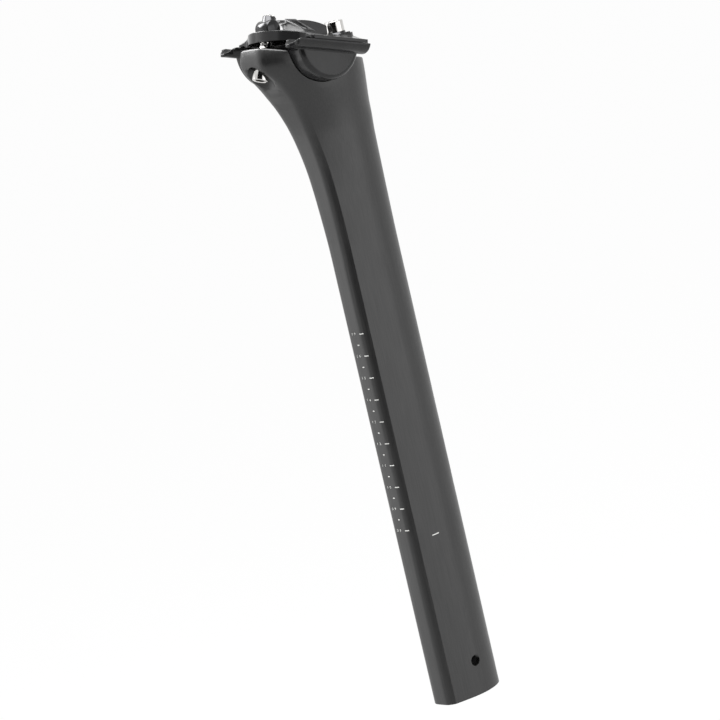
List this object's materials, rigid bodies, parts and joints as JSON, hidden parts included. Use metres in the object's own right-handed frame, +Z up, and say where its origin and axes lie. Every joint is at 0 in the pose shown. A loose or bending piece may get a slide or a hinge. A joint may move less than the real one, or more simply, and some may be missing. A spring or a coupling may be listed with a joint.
{
  "type": "bicycle seatpost",
  "caption": "Aero seatpost with a flat-backed carbon shaft and a saddle-rail clamp that rocks in its head and is tilted and locked by a front and a rear bolt.",
  "frame": {"origin": "on the shaft's mid-chord line, in the plane of its cut lower end", "axes": "+Z up the shaft, +X forward towards its rounded nose, +Y to the rider's left"},
  "size_m": [0.0578, 0.0536, 0.3157],
  "materials": {
    "carbon": "matte black over moulded carbon fibre",
    "clamp_metal": "forged, satin black anodised",
    "bolt_steel": "polished steel",
    "dark_steel": "blackened steel"
  },
  "bodies": {
    "mast": {"post": "carbon", "rear_bolt": "bolt_steel", "rear_bolt_washer": "dark_steel", "front_barrel_nut": "dark_steel"},
    "saddle_clamp": {"lower_clamp": "clamp_metal", "upper_clamp": "clamp_metal"},
    "front_screw": {"front_bolt": "bolt_steel", "front_bolt_washer": "dark_steel"},
    "rear_nut": {"rear_barrel_nut": "dark_steel"}
  },
  "joints": [
    {"name": "saddle_tilt", "type": "hinge", "parent": "mast", "child": "saddle_clamp", "pos_m": [-0.01294, 0, 0.29929], "axis": [0, 1, 0], "range_deg": [-5, 5]},
    {"name": "front_bolt_travel", "type": "slide", "parent": "mast", "child": "front_screw", "axis": [0, 0, 1], "range_m": [-0.002, 0.002]},
    {"name": "rear_nut_travel", "type": "slide", "parent": "mast", "child": "rear_nut", "axis": [0.4617, 0, 0.887], "range_m": [-0.0015, 0.0015]}
  ],
  "couplings": [
    {"joint": "saddle_tilt", "follows": "front_bolt_travel", "rad_per_m": -42.654},
    {"joint": "rear_nut_travel", "follows": "front_bolt_travel", "ratio": -0.70161}
  ]
}
